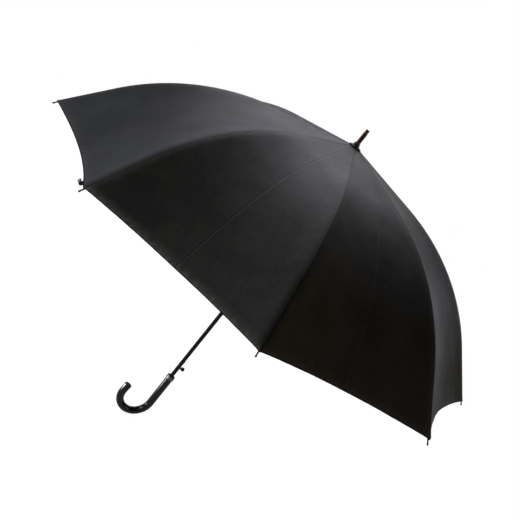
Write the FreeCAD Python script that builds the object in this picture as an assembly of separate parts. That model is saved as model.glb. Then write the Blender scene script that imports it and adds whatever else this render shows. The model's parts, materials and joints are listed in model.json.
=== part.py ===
import FreeCAD, Part
import math
import os

V = FreeCAD.Vector

# Stick umbrella with automatic opening, modelled open and upright, in millimetres.
# +Z runs up the shaft. The origin is on the shaft axis at the top of the handle collar.
# The push button is on the +X side of the shaft and the crook turns towards -X, both halfway
# between two ribs. Ribs stand every 45 degrees, and rib 1 is half a step clockwise of +X.

# ---- canopy and ribs --------------------------------------------------------------------
RIB_COUNT = 8
RIB_STEP = 360.0 / RIB_COUNT
HALF_STEP = RIB_STEP / 2
FIRST_RIB = -HALF_STEP     # bearing of rib 1 from +X
CROWN_Z = 715.0            # underside of the rosette, where the canopy meets the shaft
CANOPY_RADIUS = 600.0      # shaft axis to a hem corner
CANOPY_THICKNESS = 0.6
CROWN_HOLE_RADIUS = 7.0    # to a corner of the canopy's centre hole
CROWN_HOLE_DROP = 1.0      # canopy below the rosette's underside at that hole
CROWN_SLOPE = 11.7         # degrees below horizontal near the crown
HEM_SLOPE = 49.0           # degrees below horizontal near the hem
CROWN_STRAIGHT = 0.27      # share of the rib's length that is straight at the crown
HEM_STRAIGHT = 0.20        # share that is straight at the hem
PANEL_GAP = 0.15           # clearance either side of each canopy division
PANEL_OVERSIZE = 0.45      # share of the canopy radius each half panel is drawn to before trimming
RIB_DEPTH = 3.1            # canopy's top face to the rib's centre line
RIB_RADIUS = 1.6
ROD_START = 11.5           # along the canopy edge, where the round rod begins
TIP_LENGTH = 11.0          # rib tip beyond the hem
TIP_BEAD_RADIUS = 2.2
ROD_OVERLAP = 2.0          # how far a flat end runs into its round rod
CUT_MARGIN = 1.0           # how far a cutting tool runs past the face it cuts

# ---- rib linkage ------------------------------------------------------------------------
PIVOT_RADIUS = 9.5         # shaft axis to the notch and runner pivots
NOTCH_PIVOT_DROP = 6.5     # notch pivots below the crown
LINK_LENGTH = 295.0        # notch pivot to rib bracket, and bracket to stretcher foot
BRACKET_DROP = 4.5         # stretcher pivot below the rib's centre line
CLOSED_BRACKET_RADIUS = 18.0
EYE_RADIUS = 1.9
EYE_THICKNESS = 2.0
WIRE_RADIUS = 0.6
WIRE_EYE_BORE = 0.75
RIVET_RADIUS = 0.9
RIVET_BORE = 0.95
TANG_LENGTH = 8.0          # flattened length between an eye and the round rod
TANG_WIDTH = 2.4
CHEEK_INNER = 1.4          # half the gap between the bracket's two cheeks
CHEEK_OUTER = 2.1
RIVET_HEAD = 0.4           # how far a rivet stands out of each cheek
JOINT_TANG = 4.4           # flattened length at the bracket end of a rod
JOINT_TANG_WIDTH = 2.6
INNER_ROD_SETBACK = 3.2    # end of the inner rod before the bracket's rib pivot
# bracket corners: distance along the rib from its pivot, and depth below the rib's centre line
BRACKET_OUTLINE = [
    (-13.0, -0.9),
    (-13.0, 1.2),
    (-2.0, BRACKET_DROP + 1.9),
    (1.6, BRACKET_DROP + 1.9),
    (2.6, BRACKET_DROP),
    (2.6, -0.9),
]
JOINT_EYE_RADIUS = 2.0
JOINT_EYE_THICKNESS = 2.4
STRETCHER_RADIUS = 1.4
SLOT_WIDTH = 2.6           # radial slots of the notch and the runner head
SLOT_FLOOR_RADIUS = 7.2

# ---- shaft ------------------------------------------------------------------------------
SHAFT_RADIUS = 5.0
SHAFT_BORE = 4.3
SHAFT_BOTTOM = -88.0
SHAFT_TOP = CROWN_Z + 3.0
FIT_GAP = 0.02             # radial gap of pieces fixed on the shaft
RUNNING_GAP = 0.05         # radial gap of pieces that slide

# ---- crown and ferrule, heights above the crown -----------------------------------------
NOTCH_RADIUS = 12.5
NOTCH_TOP = -3.4
NOTCH_PLATE = 1.0          # closed plate over the notch slots
NOTCH_BOTTOM = -12.5
ROSETTE_RADIUS = 15.0
ROSETTE_UNDERSIDE = -0.6   # at the canopy's centre hole
ROSETTE_EDGE = 2.7         # thickness at the rim
ROSETTE_BEVEL = 0.9
ROSETTE_SHOULDER = 1.0
ROSETTE_TOP = 1.4
CAP_RADIUS = 9.0
CAP_TOP = 4.4
CAP_BEVEL = 1.0
FERRULE_BASE_RADIUS = 7.4
FERRULE_BASE_TOP = 9.6
FERRULE_BASE_BEVEL = 0.8
FERRULE_FLARE = 1.6        # height of the cone between the base and the barrel
FERRULE_RADIUS = 5.2
FERRULE_SHOULDER = 38.0
FERRULE_TOP = 41.0
FERRULE_TIP_RADIUS = 4.5
FERRULE_TIP_TOP = 47.0
FERRULE_TIP_ROUND = 1.2
TIP_SOCKET_RADIUS = 2.0
TIP_SOCKET_DEPTH = 6.0
TIP_SOCKET_GAP = 0.5       # left empty at the bottom of the socket
SPIGOT_LENGTH = 22.0

# ---- runner -----------------------------------------------------------------------------
HEAD_RADIUS = 13.0
HEAD_HALF_HEIGHT = 5.0
SLEEVE_RADIUS = 7.0
SLEEVE_DROP = 75.0         # runner pivots to the bottom of the sleeve
PIN_DROP = 12.0            # runner pivots to the drive pin
PIN_RADIUS = 1.2
PIN_INNER_END = -3.4       # from the shaft axis
PIN_LENGTH = 10.2
SHAFT_SLOT_WIDTH = 3.0
SLOT_END_ROOM = 0.4        # past the drive pin at both ends of the slot
HEAD_BEVEL = 1.0
SLEEVE_BEVEL = 0.5
NOSE_WINDOW_SIDE = 0.5     # room round the catch nose in the runner
NOSE_WINDOW_ENDS = 0.8
SPRING_WIRE_RADIUS = 0.55
SPRING_END_GAP = 0.1
SPRING_MEAN_RADIUS = 3.5
SPRING_TURNS = 38
SEAT_BOTTOM = 52.0
SEAT_TOP = 57.0

# ---- push button and catch --------------------------------------------------------------
BUTTON_Z = 28.0
BUTTON_CAP_INNER = 10.2    # shaft axis to the cap's inner face
BUTTON_CAP_OUTER = 16.6
BUTTON_CAP_RADIUS = 4.8
BUTTON_CAP_ROUND = 1.4
STEM_RADIUS = 1.5
STEM_GUIDE_GAP = 0.1
STEM_HOLE_GAP = 0.15
STEM_END = 14.0
GUIDE_RADIUS = 3.0
GUIDE_OUTER = 6.4
NOSE_Z = 47.0
NOSE_REACH = 6.3
NOSE_HALF_WIDTH = 1.1
NOSE_HALF_HEIGHT = 1.4
NOSE_HOLE_SIDE = 0.2       # room round the catch nose in the shaft
NOSE_HOLE_ENDS = 0.3
TONGUE_X = 2.6
TONGUE_THICKNESS = 1.0
TONGUE_HALF_WIDTH = 1.8
TONGUE_BELOW = 3.0         # below the button's axis
TONGUE_ABOVE = 2.4         # above the nose's middle
LEAF_WALL_GAP = 0.5        # from the shaft's bore on the -X side
LEAF_TONGUE_GAP = 0.1
LEAF_THICKNESS = 0.4
LEAF_WIDTH = 2.4
LEAF_FOOT_Z = 8.0
LEAF_BEND_Z = 26.0
LEAF_PAD_Z = 40.0
LEAF_TOP_Z = 44.0

# ---- handle -----------------------------------------------------------------------------
COLLAR_RADIUS = 10.3
COLLAR_HEIGHT = 10.0
COLLAR_BEVEL = 0.8
PLUG_RADIUS = 8.0
PLUG_RISE = 0.9
PLUG_BEVEL = 0.6
GRIP_RADIUS = 9.25
BEND_Z = -91.0
BEND_RADIUS = 41.0
BEND_ANGLE = 185.0         # the crook turns a little back towards the shaft
HOOK_END_LENGTH = 19.0
HOOK_END_ROUND = 2.5

# ---- closure strap ----------------------------------------------------------------------
STRAP_RIB = 6
STRAP_OFFSET = 31.0        # along the hem from the rib's corner
STRAP_WIDTH = 16.0
STRAP_THICKNESS = 1.2
STRAP_REACH = 4.0          # from the sewn edge to the start of the fold
STRAP_RETURN = 58.0
STRAP_SPREAD = 6.2         # between the strap's two legs
STRAP_ROOT_DROP = -1.5     # sewn edge beyond the hem, so it lies just inside it
STRAP_ROOT_DEPTH = 2.3     # sewn edge beneath the canopy's top face
STRAP_ROLL_RADIUS = 1.2
SNAP_RADIUS = 3.2
SNAP_THICKNESS = 1.2
SNAP_AHEAD = 1.0           # snap's centre beyond the start of the fold


def sin_deg(angle):
    return math.sin(math.radians(angle))


def cos_deg(angle):
    return math.cos(math.radians(angle))


def solve(function, low, high):
    """The place between low and high where a function changes sign."""
    start = function(low)
    for _ in range(60):
        middle = (low + high) / 2
        if (function(middle) > 0) == (start > 0):
            low = middle
        else:
            high = middle
    return (low + high) / 2


# ---- the rib's curve: straight, then one arc, then straight ------------------------------

def reach_of_length(length):
    """Radius reached at the hem by a canopy edge of this length."""
    bend = (1 - CROWN_STRAIGHT - HEM_STRAIGHT) * length
    arc = bend / math.radians(HEM_SLOPE - CROWN_SLOPE)
    straight = CROWN_STRAIGHT * length * cos_deg(CROWN_SLOPE) + HEM_STRAIGHT * length * cos_deg(HEM_SLOPE)
    return CROWN_HOLE_RADIUS + straight + arc * (sin_deg(HEM_SLOPE) - sin_deg(CROWN_SLOPE))


EDGE_LENGTH = solve(lambda length: reach_of_length(length) - CANOPY_RADIUS, 500, 900)
ARC_START = CROWN_STRAIGHT * EDGE_LENGTH
ARC_END = (1 - HEM_STRAIGHT) * EDGE_LENGTH
ARC_RADIUS = (ARC_END - ARC_START) / math.radians(HEM_SLOPE - CROWN_SLOPE)
START_Z = CROWN_Z - CROWN_HOLE_DROP
ARC_CENTRE_R = CROWN_HOLE_RADIUS + ARC_START * cos_deg(CROWN_SLOPE) - ARC_RADIUS * sin_deg(CROWN_SLOPE)
ARC_CENTRE_Z = START_Z - ARC_START * sin_deg(CROWN_SLOPE) - ARC_RADIUS * cos_deg(CROWN_SLOPE)


def slope_at(along):
    """Degrees below horizontal at a distance along the canopy edge."""
    if along < ARC_START:
        return CROWN_SLOPE
    return min(CROWN_SLOPE + math.degrees((along - ARC_START) / ARC_RADIUS), HEM_SLOPE)


def edge_point(along, depth=0.0):
    """Radius and height at a distance along the canopy edge, and at a depth below it."""
    slope = slope_at(along)
    beyond = 0.0
    if along < ARC_START:
        beyond = along - ARC_START
    if along > ARC_END:
        beyond = along - ARC_END
    radius = ARC_CENTRE_R + (ARC_RADIUS - depth) * sin_deg(slope) + beyond * cos_deg(slope)
    height = ARC_CENTRE_Z + (ARC_RADIUS - depth) * cos_deg(slope) - beyond * sin_deg(slope)
    return radius, height


def edge_vector(along, depth=0.0):
    radius, height = edge_point(along, depth)
    return V(radius, 0, height)


def edge_curve(begin, end, depth):
    """Edges that follow the canopy edge from one distance along it to another."""
    stops = [begin]
    for corner in (ARC_START, ARC_END):
        if begin < corner < end:
            stops.append(corner)
    stops.append(end)
    edges = []
    for first, last in zip(stops, stops[1:]):
        start = edge_vector(first, depth)
        finish = edge_vector(last, depth)
        middle = edge_vector((first + last) / 2, depth)
        if last <= ARC_START or first >= ARC_END:
            edges.append(Part.makeLine(start, finish))
        else:
            edges.append(Part.Arc(start, middle, finish).toShape())
    return edges


# ---- linkage positions, in the plane of one rib -----------------------------------------
NOTCH_PIVOT = V(PIVOT_RADIUS, 0, CROWN_Z - NOTCH_PIVOT_DROP)


def bracket_pivot(along):
    return edge_vector(along, RIB_DEPTH + BRACKET_DROP)


BRACKET_ALONG = solve(lambda along: (bracket_pivot(along) - NOTCH_PIVOT).Length - LINK_LENGTH, 200, 450)
STRETCHER_PIVOT = bracket_pivot(BRACKET_ALONG)
RIB_PIVOT = edge_vector(BRACKET_ALONG, RIB_DEPTH)
OPEN_ANGLE = math.degrees(math.atan2(STRETCHER_PIVOT.x - NOTCH_PIVOT.x, NOTCH_PIVOT.z - STRETCHER_PIVOT.z))
CLOSED_ANGLE = math.degrees(math.asin((CLOSED_BRACKET_RADIUS - PIVOT_RADIUS) / LINK_LENGTH))
RUNNER_PIVOT = V(PIVOT_RADIUS, 0, NOTCH_PIVOT.z - 2 * LINK_LENGTH * cos_deg(OPEN_ANGLE))
RUNNER_CLOSED_Z = NOTCH_PIVOT.z - 2 * LINK_LENGTH * cos_deg(CLOSED_ANGLE)
RUNNER_TRAVEL = RUNNER_PIVOT.z - RUNNER_CLOSED_Z


# ---- shape helpers ----------------------------------------------------------------------

def around(shape, angle):
    """A copy turned about the shaft axis."""
    copy = shape.copy()
    copy.rotate(V(0, 0, 0), V(0, 0, 1), angle)
    return copy


def rib_bearing(number):
    """Bearing of a rib, counted from 1, in degrees from +X."""
    return FIRST_RIB + (number - 1) * RIB_STEP


def turned(outline):
    """A solid of revolution about the shaft from (radius, height) corners."""
    points = [V(radius, 0, height) for radius, height in outline]
    face = Part.Face(Part.makePolygon(points + points[:1]))
    return face.revolve(V(0, 0, 0), V(0, 0, 1), 360)


def tube(outer, inner, bottom, top):
    return turned([(inner, bottom), (outer, bottom), (outer, top), (inner, top)])


def disc_across(centre, radius, thickness):
    """A disc whose axis runs sideways across a rib, centred on a point."""
    base = V(centre.x, -thickness / 2, centre.z)
    return Part.makeCylinder(radius, thickness, base, V(0, 1, 0))


def plate_across(corners, thickness, side=0.0):
    """A flat plate in the plane of a rib, extruded sideways."""
    points = [V(corner.x, side - thickness / 2, corner.z) for corner in corners]
    face = Part.Face(Part.makePolygon(points + points[:1]))
    return face.extrude(V(0, thickness, 0))


def bar_across(start, finish, width, thickness):
    """A flat bar between two points in the plane of a rib."""
    along = (finish - start).normalize()
    side = V(-along.z, 0, along.x) * (width / 2)
    return plate_across([start + side, finish + side, finish - side, start - side], thickness)


def rod(edges, radius):
    """A round rod swept along edges."""
    wire = Part.Wire(edges)
    first = wire.Edges[0]
    start = first.valueAt(first.FirstParameter)
    tangent = first.tangentAt(first.FirstParameter)
    profile = Part.Wire(Part.makeCircle(radius, start, tangent))
    return wire.makePipeShell([profile], True, False)


def box(low, high):
    size = high - low
    return Part.makeBox(size.x, size.y, size.z, low)


def edges_at(shape, centre):
    """The round edges of a shape that are centred on a point."""
    return [edge for edge in shape.Edges if (edge.CenterOfMass - centre).Length < 0.1]


def export(shape, name):
    shape = shape.removeSplitter()
    shape.exportStep("parts/" + name + ".step")


# ---- one rib with its joints, in the XZ plane -------------------------------------------

def point_along(start, direction, distance):
    return start + V(direction.x, 0, direction.z) * distance


def rib_inner():
    """Inner rib: eye on the notch wire, round rod and the two-cheek bracket with its rivets."""
    body = rod(edge_curve(ROD_START, BRACKET_ALONG - INNER_ROD_SETBACK, RIB_DEPTH), RIB_RADIUS)
    shank_end = edge_vector(ROD_START + ROD_OVERLAP, RIB_DEPTH)
    shank = bar_across(NOTCH_PIVOT, shank_end, TANG_WIDTH, EYE_THICKNESS)
    body = body.fuse(shank).fuse(disc_across(NOTCH_PIVOT, EYE_RADIUS, EYE_THICKNESS))
    body = body.cut(disc_across(NOTCH_PIVOT, WIRE_EYE_BORE, EYE_THICKNESS + CUT_MARGIN))
    corners = [edge_vector(BRACKET_ALONG + ahead, RIB_DEPTH + depth) for ahead, depth in BRACKET_OUTLINE]
    thickness = CHEEK_OUTER - CHEEK_INNER
    for side in (1, -1):
        middle = side * (CHEEK_OUTER + CHEEK_INNER) / 2
        body = body.fuse(plate_across(corners, thickness, middle))
    for pivot in (RIB_PIVOT, STRETCHER_PIVOT):
        body = body.fuse(disc_across(pivot, RIVET_RADIUS, 2 * (CHEEK_OUTER + RIVET_HEAD)))
    return body


def rib_outer():
    """Outer rib: flat eye in the bracket, round rod and the tip with its bead."""
    begin = BRACKET_ALONG + JOINT_TANG
    hem_end = EDGE_LENGTH + TIP_LENGTH
    body = rod(edge_curve(begin, hem_end - TIP_BEAD_RADIUS, RIB_DEPTH), RIB_RADIUS)
    bead = Part.makeSphere(TIP_BEAD_RADIUS, edge_vector(hem_end - TIP_BEAD_RADIUS, RIB_DEPTH))
    tang_end = edge_vector(begin + ROD_OVERLAP, RIB_DEPTH)
    tang = bar_across(RIB_PIVOT, tang_end, JOINT_TANG_WIDTH, JOINT_EYE_THICKNESS)
    eye = disc_across(RIB_PIVOT, JOINT_EYE_RADIUS, JOINT_EYE_THICKNESS)
    body = body.fuse(bead).fuse(tang).fuse(eye)
    return body.cut(disc_across(RIB_PIVOT, RIVET_BORE, JOINT_EYE_THICKNESS + CUT_MARGIN))


def stretcher():
    """Stretcher: flat eye in the rib bracket, round rod and a flat foot in the runner head."""
    run = RUNNER_PIVOT - STRETCHER_PIVOT
    direction = V(run.x, 0, run.z).normalize()
    top = point_along(STRETCHER_PIVOT, direction, JOINT_TANG)
    bottom = point_along(STRETCHER_PIVOT, direction, LINK_LENGTH - TANG_LENGTH)
    body = rod([Part.makeLine(top, bottom)], STRETCHER_RADIUS)
    upper_end = point_along(top, direction, ROD_OVERLAP)
    lower_end = point_along(bottom, direction, -ROD_OVERLAP)
    upper_tang = bar_across(STRETCHER_PIVOT, upper_end, TANG_WIDTH, JOINT_EYE_THICKNESS)
    lower_tang = bar_across(lower_end, RUNNER_PIVOT, TANG_WIDTH, EYE_THICKNESS)
    upper_eye = disc_across(STRETCHER_PIVOT, JOINT_EYE_RADIUS, JOINT_EYE_THICKNESS)
    foot = disc_across(RUNNER_PIVOT, EYE_RADIUS, EYE_THICKNESS)
    body = body.fuse(upper_tang).fuse(upper_eye).fuse(lower_tang).fuse(foot)
    body = body.cut(disc_across(STRETCHER_PIVOT, RIVET_BORE, JOINT_EYE_THICKNESS + CUT_MARGIN))
    return body.cut(disc_across(RUNNER_PIVOT, WIRE_EYE_BORE, EYE_THICKNESS + CUT_MARGIN))


def canopy_dart(begin, end):
    """The canopy either side of one rib, out to the middle of both panels."""
    outer = edge_curve(begin, end, 0.0)
    inner = edge_curve(begin, end, CANOPY_THICKNESS)
    start_cap = Part.makeLine(edge_vector(begin), edge_vector(begin, CANOPY_THICKNESS))
    end_cap = Part.makeLine(edge_vector(end), edge_vector(end, CANOPY_THICKNESS))
    strip = Part.Face(Part.Wire(Part.__sortEdges__(outer + inner + [start_cap, end_cap])))
    chord = V(-sin_deg(HALF_STEP), cos_deg(HALF_STEP), 0)
    half = strip.extrude(chord * (CANOPY_RADIUS * PANEL_OVERSIZE))
    beyond = box(V(-CANOPY_RADIUS, 0, 0), V(2 * CANOPY_RADIUS, CANOPY_RADIUS, 2 * CANOPY_RADIUS))
    beyond = around(beyond, HALF_STEP)
    beyond.translate(chord * -PANEL_GAP)
    half = half.cut(beyond)
    return half.fuse(half.mirror(V(0, 0, 0), V(0, 1, 0)))


def make_ribs():
    pieces = {
        "rib_inner": rib_inner(),
        "rib_outer": rib_outer(),
        "stretcher": stretcher(),
        "canopy_inner": canopy_dart(0.0, BRACKET_ALONG - PANEL_GAP),
        "canopy_outer": canopy_dart(BRACKET_ALONG + PANEL_GAP, EDGE_LENGTH),
    }
    for name, shape in pieces.items():
        for number in range(RIB_COUNT):
            export(around(shape, rib_bearing(number + 1)), name + "_" + str(number + 1))


# ---- crown ------------------------------------------------------------------------------

def slotted(body, low, high):
    """Cuts the radial slots that the flat rib and stretcher ends sit in."""
    for number in range(RIB_COUNT):
        slot = box(V(SLOT_FLOOR_RADIUS, -SLOT_WIDTH / 2, low), V(2 * HEAD_RADIUS, SLOT_WIDTH / 2, high))
        body = body.cut(around(slot, rib_bearing(number + 1)))
    return body


def make_crown():
    bore = SHAFT_RADIUS + FIT_GAP
    notch = tube(NOTCH_RADIUS, bore, CROWN_Z + NOTCH_BOTTOM, CROWN_Z + NOTCH_TOP)
    notch = slotted(notch, CROWN_Z + NOTCH_BOTTOM - CUT_MARGIN, CROWN_Z + NOTCH_TOP - NOTCH_PLATE)
    wire_channel = Part.makeTorus(PIVOT_RADIUS, WIRE_RADIUS + FIT_GAP, V(0, 0, NOTCH_PIVOT.z))
    export(notch.cut(wire_channel), "top_notch")
    export(Part.makeTorus(PIVOT_RADIUS, WIRE_RADIUS, V(0, 0, NOTCH_PIVOT.z)), "notch_wire")

    fall = (ROSETTE_RADIUS - CROWN_HOLE_RADIUS) * math.tan(math.radians(CROWN_SLOPE))
    underside = CROWN_Z + ROSETTE_UNDERSIDE
    rosette = turned([
        (bore, underside),
        (CROWN_HOLE_RADIUS, underside),
        (ROSETTE_RADIUS, underside - fall),
        (ROSETTE_RADIUS, underside - fall + ROSETTE_EDGE),
        (ROSETTE_RADIUS - ROSETTE_BEVEL, CROWN_Z + ROSETTE_SHOULDER),
        (CAP_RADIUS + CAP_BEVEL, CROWN_Z + ROSETTE_TOP),
        (bore, CROWN_Z + ROSETTE_TOP),
    ])
    export(rosette, "rosette")

    cap = turned([
        (bore, CROWN_Z + ROSETTE_TOP),
        (CAP_RADIUS, CROWN_Z + ROSETTE_TOP),
        (CAP_RADIUS, CROWN_Z + CAP_TOP - CAP_BEVEL),
        (CAP_RADIUS - CAP_BEVEL, CROWN_Z + CAP_TOP),
        (bore, CROWN_Z + CAP_TOP),
    ])
    export(cap, "crown_cap")

    spigot = SHAFT_BORE - FIT_GAP
    ferrule = turned([
        (0, SHAFT_TOP - SPIGOT_LENGTH),
        (spigot, SHAFT_TOP - SPIGOT_LENGTH),
        (spigot, CROWN_Z + CAP_TOP),
        (FERRULE_BASE_RADIUS, CROWN_Z + CAP_TOP),
        (FERRULE_BASE_RADIUS, CROWN_Z + FERRULE_BASE_TOP - FERRULE_BASE_BEVEL),
        (FERRULE_BASE_RADIUS - FERRULE_BASE_BEVEL, CROWN_Z + FERRULE_BASE_TOP),
        (FERRULE_RADIUS, CROWN_Z + FERRULE_BASE_TOP + FERRULE_FLARE),
        (FERRULE_RADIUS, CROWN_Z + FERRULE_SHOULDER),
        (FERRULE_TIP_RADIUS, CROWN_Z + FERRULE_TOP),
        (0, CROWN_Z + FERRULE_TOP),
    ])
    tip_base = CROWN_Z + FERRULE_TOP
    socket = Part.makeCylinder(TIP_SOCKET_RADIUS, TIP_SOCKET_DEPTH, V(0, 0, tip_base - TIP_SOCKET_DEPTH))
    export(ferrule.cut(socket), "ferrule")
    nub = Part.makeCylinder(FERRULE_TIP_RADIUS, FERRULE_TIP_TOP - FERRULE_TOP, V(0, 0, tip_base))
    nub = nub.makeFillet(FERRULE_TIP_ROUND, edges_at(nub, V(0, 0, CROWN_Z + FERRULE_TIP_TOP)))
    stem_base = tip_base - TIP_SOCKET_DEPTH + TIP_SOCKET_GAP
    nub_stem = Part.makeCylinder(TIP_SOCKET_RADIUS - FIT_GAP, TIP_SOCKET_DEPTH, V(0, 0, stem_base))
    export(nub.fuse(nub_stem), "ferrule_tip")


# ---- shaft, runner and spring -----------------------------------------------------------

def make_shaft():
    shaft = tube(SHAFT_RADIUS, SHAFT_BORE, SHAFT_BOTTOM, SHAFT_TOP)
    pin_open = RUNNER_PIVOT.z - PIN_DROP
    pin_closed = RUNNER_CLOSED_Z - PIN_DROP
    end_room = PIN_RADIUS + SLOT_END_ROOM
    half = SHAFT_SLOT_WIDTH / 2
    outside = SHAFT_RADIUS + CUT_MARGIN
    slot = box(V(-half, 0, pin_closed - end_room), V(half, outside, pin_open + end_room))
    stem_hole = Part.makeCylinder(STEM_RADIUS + STEM_HOLE_GAP, outside, V(0, 0, BUTTON_Z), V(1, 0, 0))
    wide = NOSE_HALF_WIDTH + NOSE_HOLE_SIDE
    high = NOSE_HALF_HEIGHT + NOSE_HOLE_ENDS
    nose_window = box(V(0, -wide, NOSE_Z - high), V(outside, wide, NOSE_Z + high))
    export(shaft.cut(slot).cut(stem_hole).cut(nose_window), "shaft_tube")

    seat = Part.makeCylinder(SHAFT_BORE - FIT_GAP, SEAT_TOP - SEAT_BOTTOM, V(0, 0, SEAT_BOTTOM))
    export(seat, "spring_seat")


def make_runner():
    bottom = RUNNER_PIVOT.z - SLEEVE_DROP
    top = RUNNER_PIVOT.z + HEAD_HALF_HEIGHT
    head_bottom = RUNNER_PIVOT.z - HEAD_HALF_HEIGHT
    bore = SHAFT_RADIUS + RUNNING_GAP
    sleeve = turned([
        (bore, bottom),
        (SLEEVE_RADIUS - SLEEVE_BEVEL, bottom),
        (SLEEVE_RADIUS, bottom + SLEEVE_BEVEL),
        (SLEEVE_RADIUS, head_bottom),
        (HEAD_RADIUS - HEAD_BEVEL, head_bottom),
        (HEAD_RADIUS, head_bottom + HEAD_BEVEL),
        (HEAD_RADIUS, top - HEAD_BEVEL),
        (HEAD_RADIUS - HEAD_BEVEL, top),
        (bore, top),
    ])
    sleeve = slotted(sleeve, head_bottom - CUT_MARGIN, top + CUT_MARGIN)
    outside = SLEEVE_RADIUS + CUT_MARGIN
    pin_z = RUNNER_PIVOT.z - PIN_DROP
    pin_bore = Part.makeCylinder(PIN_RADIUS + FIT_GAP, outside, V(0, 0, pin_z), V(0, 1, 0))
    nose_rise = NOSE_Z - RUNNER_CLOSED_Z
    window_z = RUNNER_PIVOT.z + nose_rise
    wide = NOSE_HALF_WIDTH + NOSE_WINDOW_SIDE
    high = NOSE_HALF_HEIGHT + NOSE_WINDOW_ENDS
    window = box(V(0, -wide, window_z - high), V(outside, wide, window_z + high))
    export(sleeve.cut(pin_bore).cut(window), "runner_sleeve")

    pin = Part.makeCylinder(PIN_RADIUS, PIN_LENGTH, V(0, PIN_INNER_END, pin_z), V(0, 1, 0))
    export(pin, "drive_pin")

    low = SEAT_TOP + SPRING_WIRE_RADIUS + SPRING_END_GAP
    high = pin_z - PIN_RADIUS - SPRING_WIRE_RADIUS - SPRING_END_GAP
    helix = Part.makeHelix((high - low) / SPRING_TURNS, high - low, SPRING_MEAN_RADIUS)
    profile = Part.Wire(Part.makeCircle(SPRING_WIRE_RADIUS, V(SPRING_MEAN_RADIUS, 0, 0), V(0, 1, 0)))
    coil = Part.Wire(helix.Edges).makePipeShell([profile], True, True)
    coil.translate(V(0, 0, low))
    export(coil, "opening_spring")


# ---- push button and catch --------------------------------------------------------------

def make_button():
    reach = BUTTON_CAP_OUTER - BUTTON_CAP_INNER
    cap = Part.makeCylinder(BUTTON_CAP_RADIUS, reach, V(BUTTON_CAP_INNER, 0, BUTTON_Z), V(1, 0, 0))
    cap = cap.makeFillet(BUTTON_CAP_ROUND, edges_at(cap, V(BUTTON_CAP_OUTER, 0, BUTTON_Z)))
    socket = Part.makeCylinder(STEM_RADIUS, STEM_END, V(0, 0, BUTTON_Z), V(1, 0, 0))
    export(cap.cut(socket), "button_cap")

    stem_start = TONGUE_X + TONGUE_THICKNESS / 2
    stem = Part.makeCylinder(STEM_RADIUS, STEM_END - stem_start, V(stem_start, 0, BUTTON_Z), V(1, 0, 0))
    tongue_low = V(TONGUE_X, -TONGUE_HALF_WIDTH, BUTTON_Z - TONGUE_BELOW)
    tongue_high = V(TONGUE_X + TONGUE_THICKNESS, TONGUE_HALF_WIDTH, NOSE_Z + TONGUE_ABOVE)
    tongue = box(tongue_low, tongue_high)
    nose = box(
        V(stem_start, -NOSE_HALF_WIDTH, NOSE_Z - NOSE_HALF_HEIGHT),
        V(NOSE_REACH, NOSE_HALF_WIDTH, NOSE_Z + NOSE_HALF_HEIGHT),
    )
    export(stem.fuse(tongue).fuse(nose), "button_stem")

    guide = Part.makeCylinder(GUIDE_RADIUS, GUIDE_OUTER, V(0, 0, BUTTON_Z), V(1, 0, 0))
    bore = STEM_RADIUS + STEM_GUIDE_GAP
    guide = guide.cut(Part.makeCylinder(bore, GUIDE_OUTER + CUT_MARGIN, V(0, 0, BUTTON_Z), V(1, 0, 0)))
    saddle_base = V(0, 0, BUTTON_Z - 2 * GUIDE_RADIUS)
    saddle = Part.makeCylinder(SHAFT_RADIUS + FIT_GAP, 4 * GUIDE_RADIUS, saddle_base)
    export(guide.cut(saddle), "button_guide")

    # a bent leaf behind the tongue, from the far wall of the shaft
    wall = -SHAFT_BORE + LEAF_WALL_GAP
    pad = TONGUE_X - LEAF_TONGUE_GAP
    leaf = [
        V(wall, 0, LEAF_FOOT_Z),
        V(wall + LEAF_THICKNESS, 0, LEAF_FOOT_Z),
        V(wall + LEAF_THICKNESS, 0, LEAF_BEND_Z),
        V(pad, 0, LEAF_PAD_Z),
        V(pad, 0, LEAF_TOP_Z),
        V(pad - LEAF_THICKNESS, 0, LEAF_TOP_Z),
        V(pad - LEAF_THICKNESS, 0, LEAF_PAD_Z + LEAF_THICKNESS / 2),
        V(wall, 0, LEAF_BEND_Z + LEAF_THICKNESS),
    ]
    export(plate_across(leaf, LEAF_WIDTH), "catch_spring")


# ---- handle -----------------------------------------------------------------------------

def bend_point(angle):
    """A point on the crook's centre line after turning through an angle."""
    return V(-BEND_RADIUS + BEND_RADIUS * cos_deg(angle), 0, BEND_Z - BEND_RADIUS * sin_deg(angle))


def make_handle():
    bore = SHAFT_RADIUS + FIT_GAP
    top = -COLLAR_HEIGHT
    straight = Part.makeLine(V(0, 0, top), V(0, 0, BEND_Z))
    bend_middle = bend_point(BEND_ANGLE / 2)
    bend_end = bend_point(BEND_ANGLE)
    bend = Part.Arc(V(0, 0, BEND_Z), bend_middle, bend_end).toShape()
    heading = V(-sin_deg(BEND_ANGLE), 0, -cos_deg(BEND_ANGLE))
    hook_end = bend_end + heading * HOOK_END_LENGTH
    crook = rod([straight, bend, Part.makeLine(bend_end, hook_end)], GRIP_RADIUS)
    crook = crook.makeFillet(HOOK_END_ROUND, edges_at(crook, hook_end))
    crook = crook.cut(Part.makeCylinder(bore, -SHAFT_BOTTOM, V(0, 0, SHAFT_BOTTOM)))
    export(crook, "crook_handle")

    collar = turned([
        (PLUG_RADIUS, -COLLAR_HEIGHT),
        (COLLAR_RADIUS, -COLLAR_HEIGHT),
        (COLLAR_RADIUS, -COLLAR_BEVEL),
        (COLLAR_RADIUS - COLLAR_BEVEL, 0),
        (PLUG_RADIUS, 0),
    ])
    export(collar, "handle_collar")
    plug = turned([
        (bore, -COLLAR_HEIGHT),
        (PLUG_RADIUS, -COLLAR_HEIGHT),
        (PLUG_RADIUS, 0),
        (PLUG_RADIUS - PLUG_BEVEL, PLUG_RISE),
        (bore, PLUG_RISE),
    ])
    export(plug, "handle_plug")


# ---- closure strap ----------------------------------------------------------------------

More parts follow.
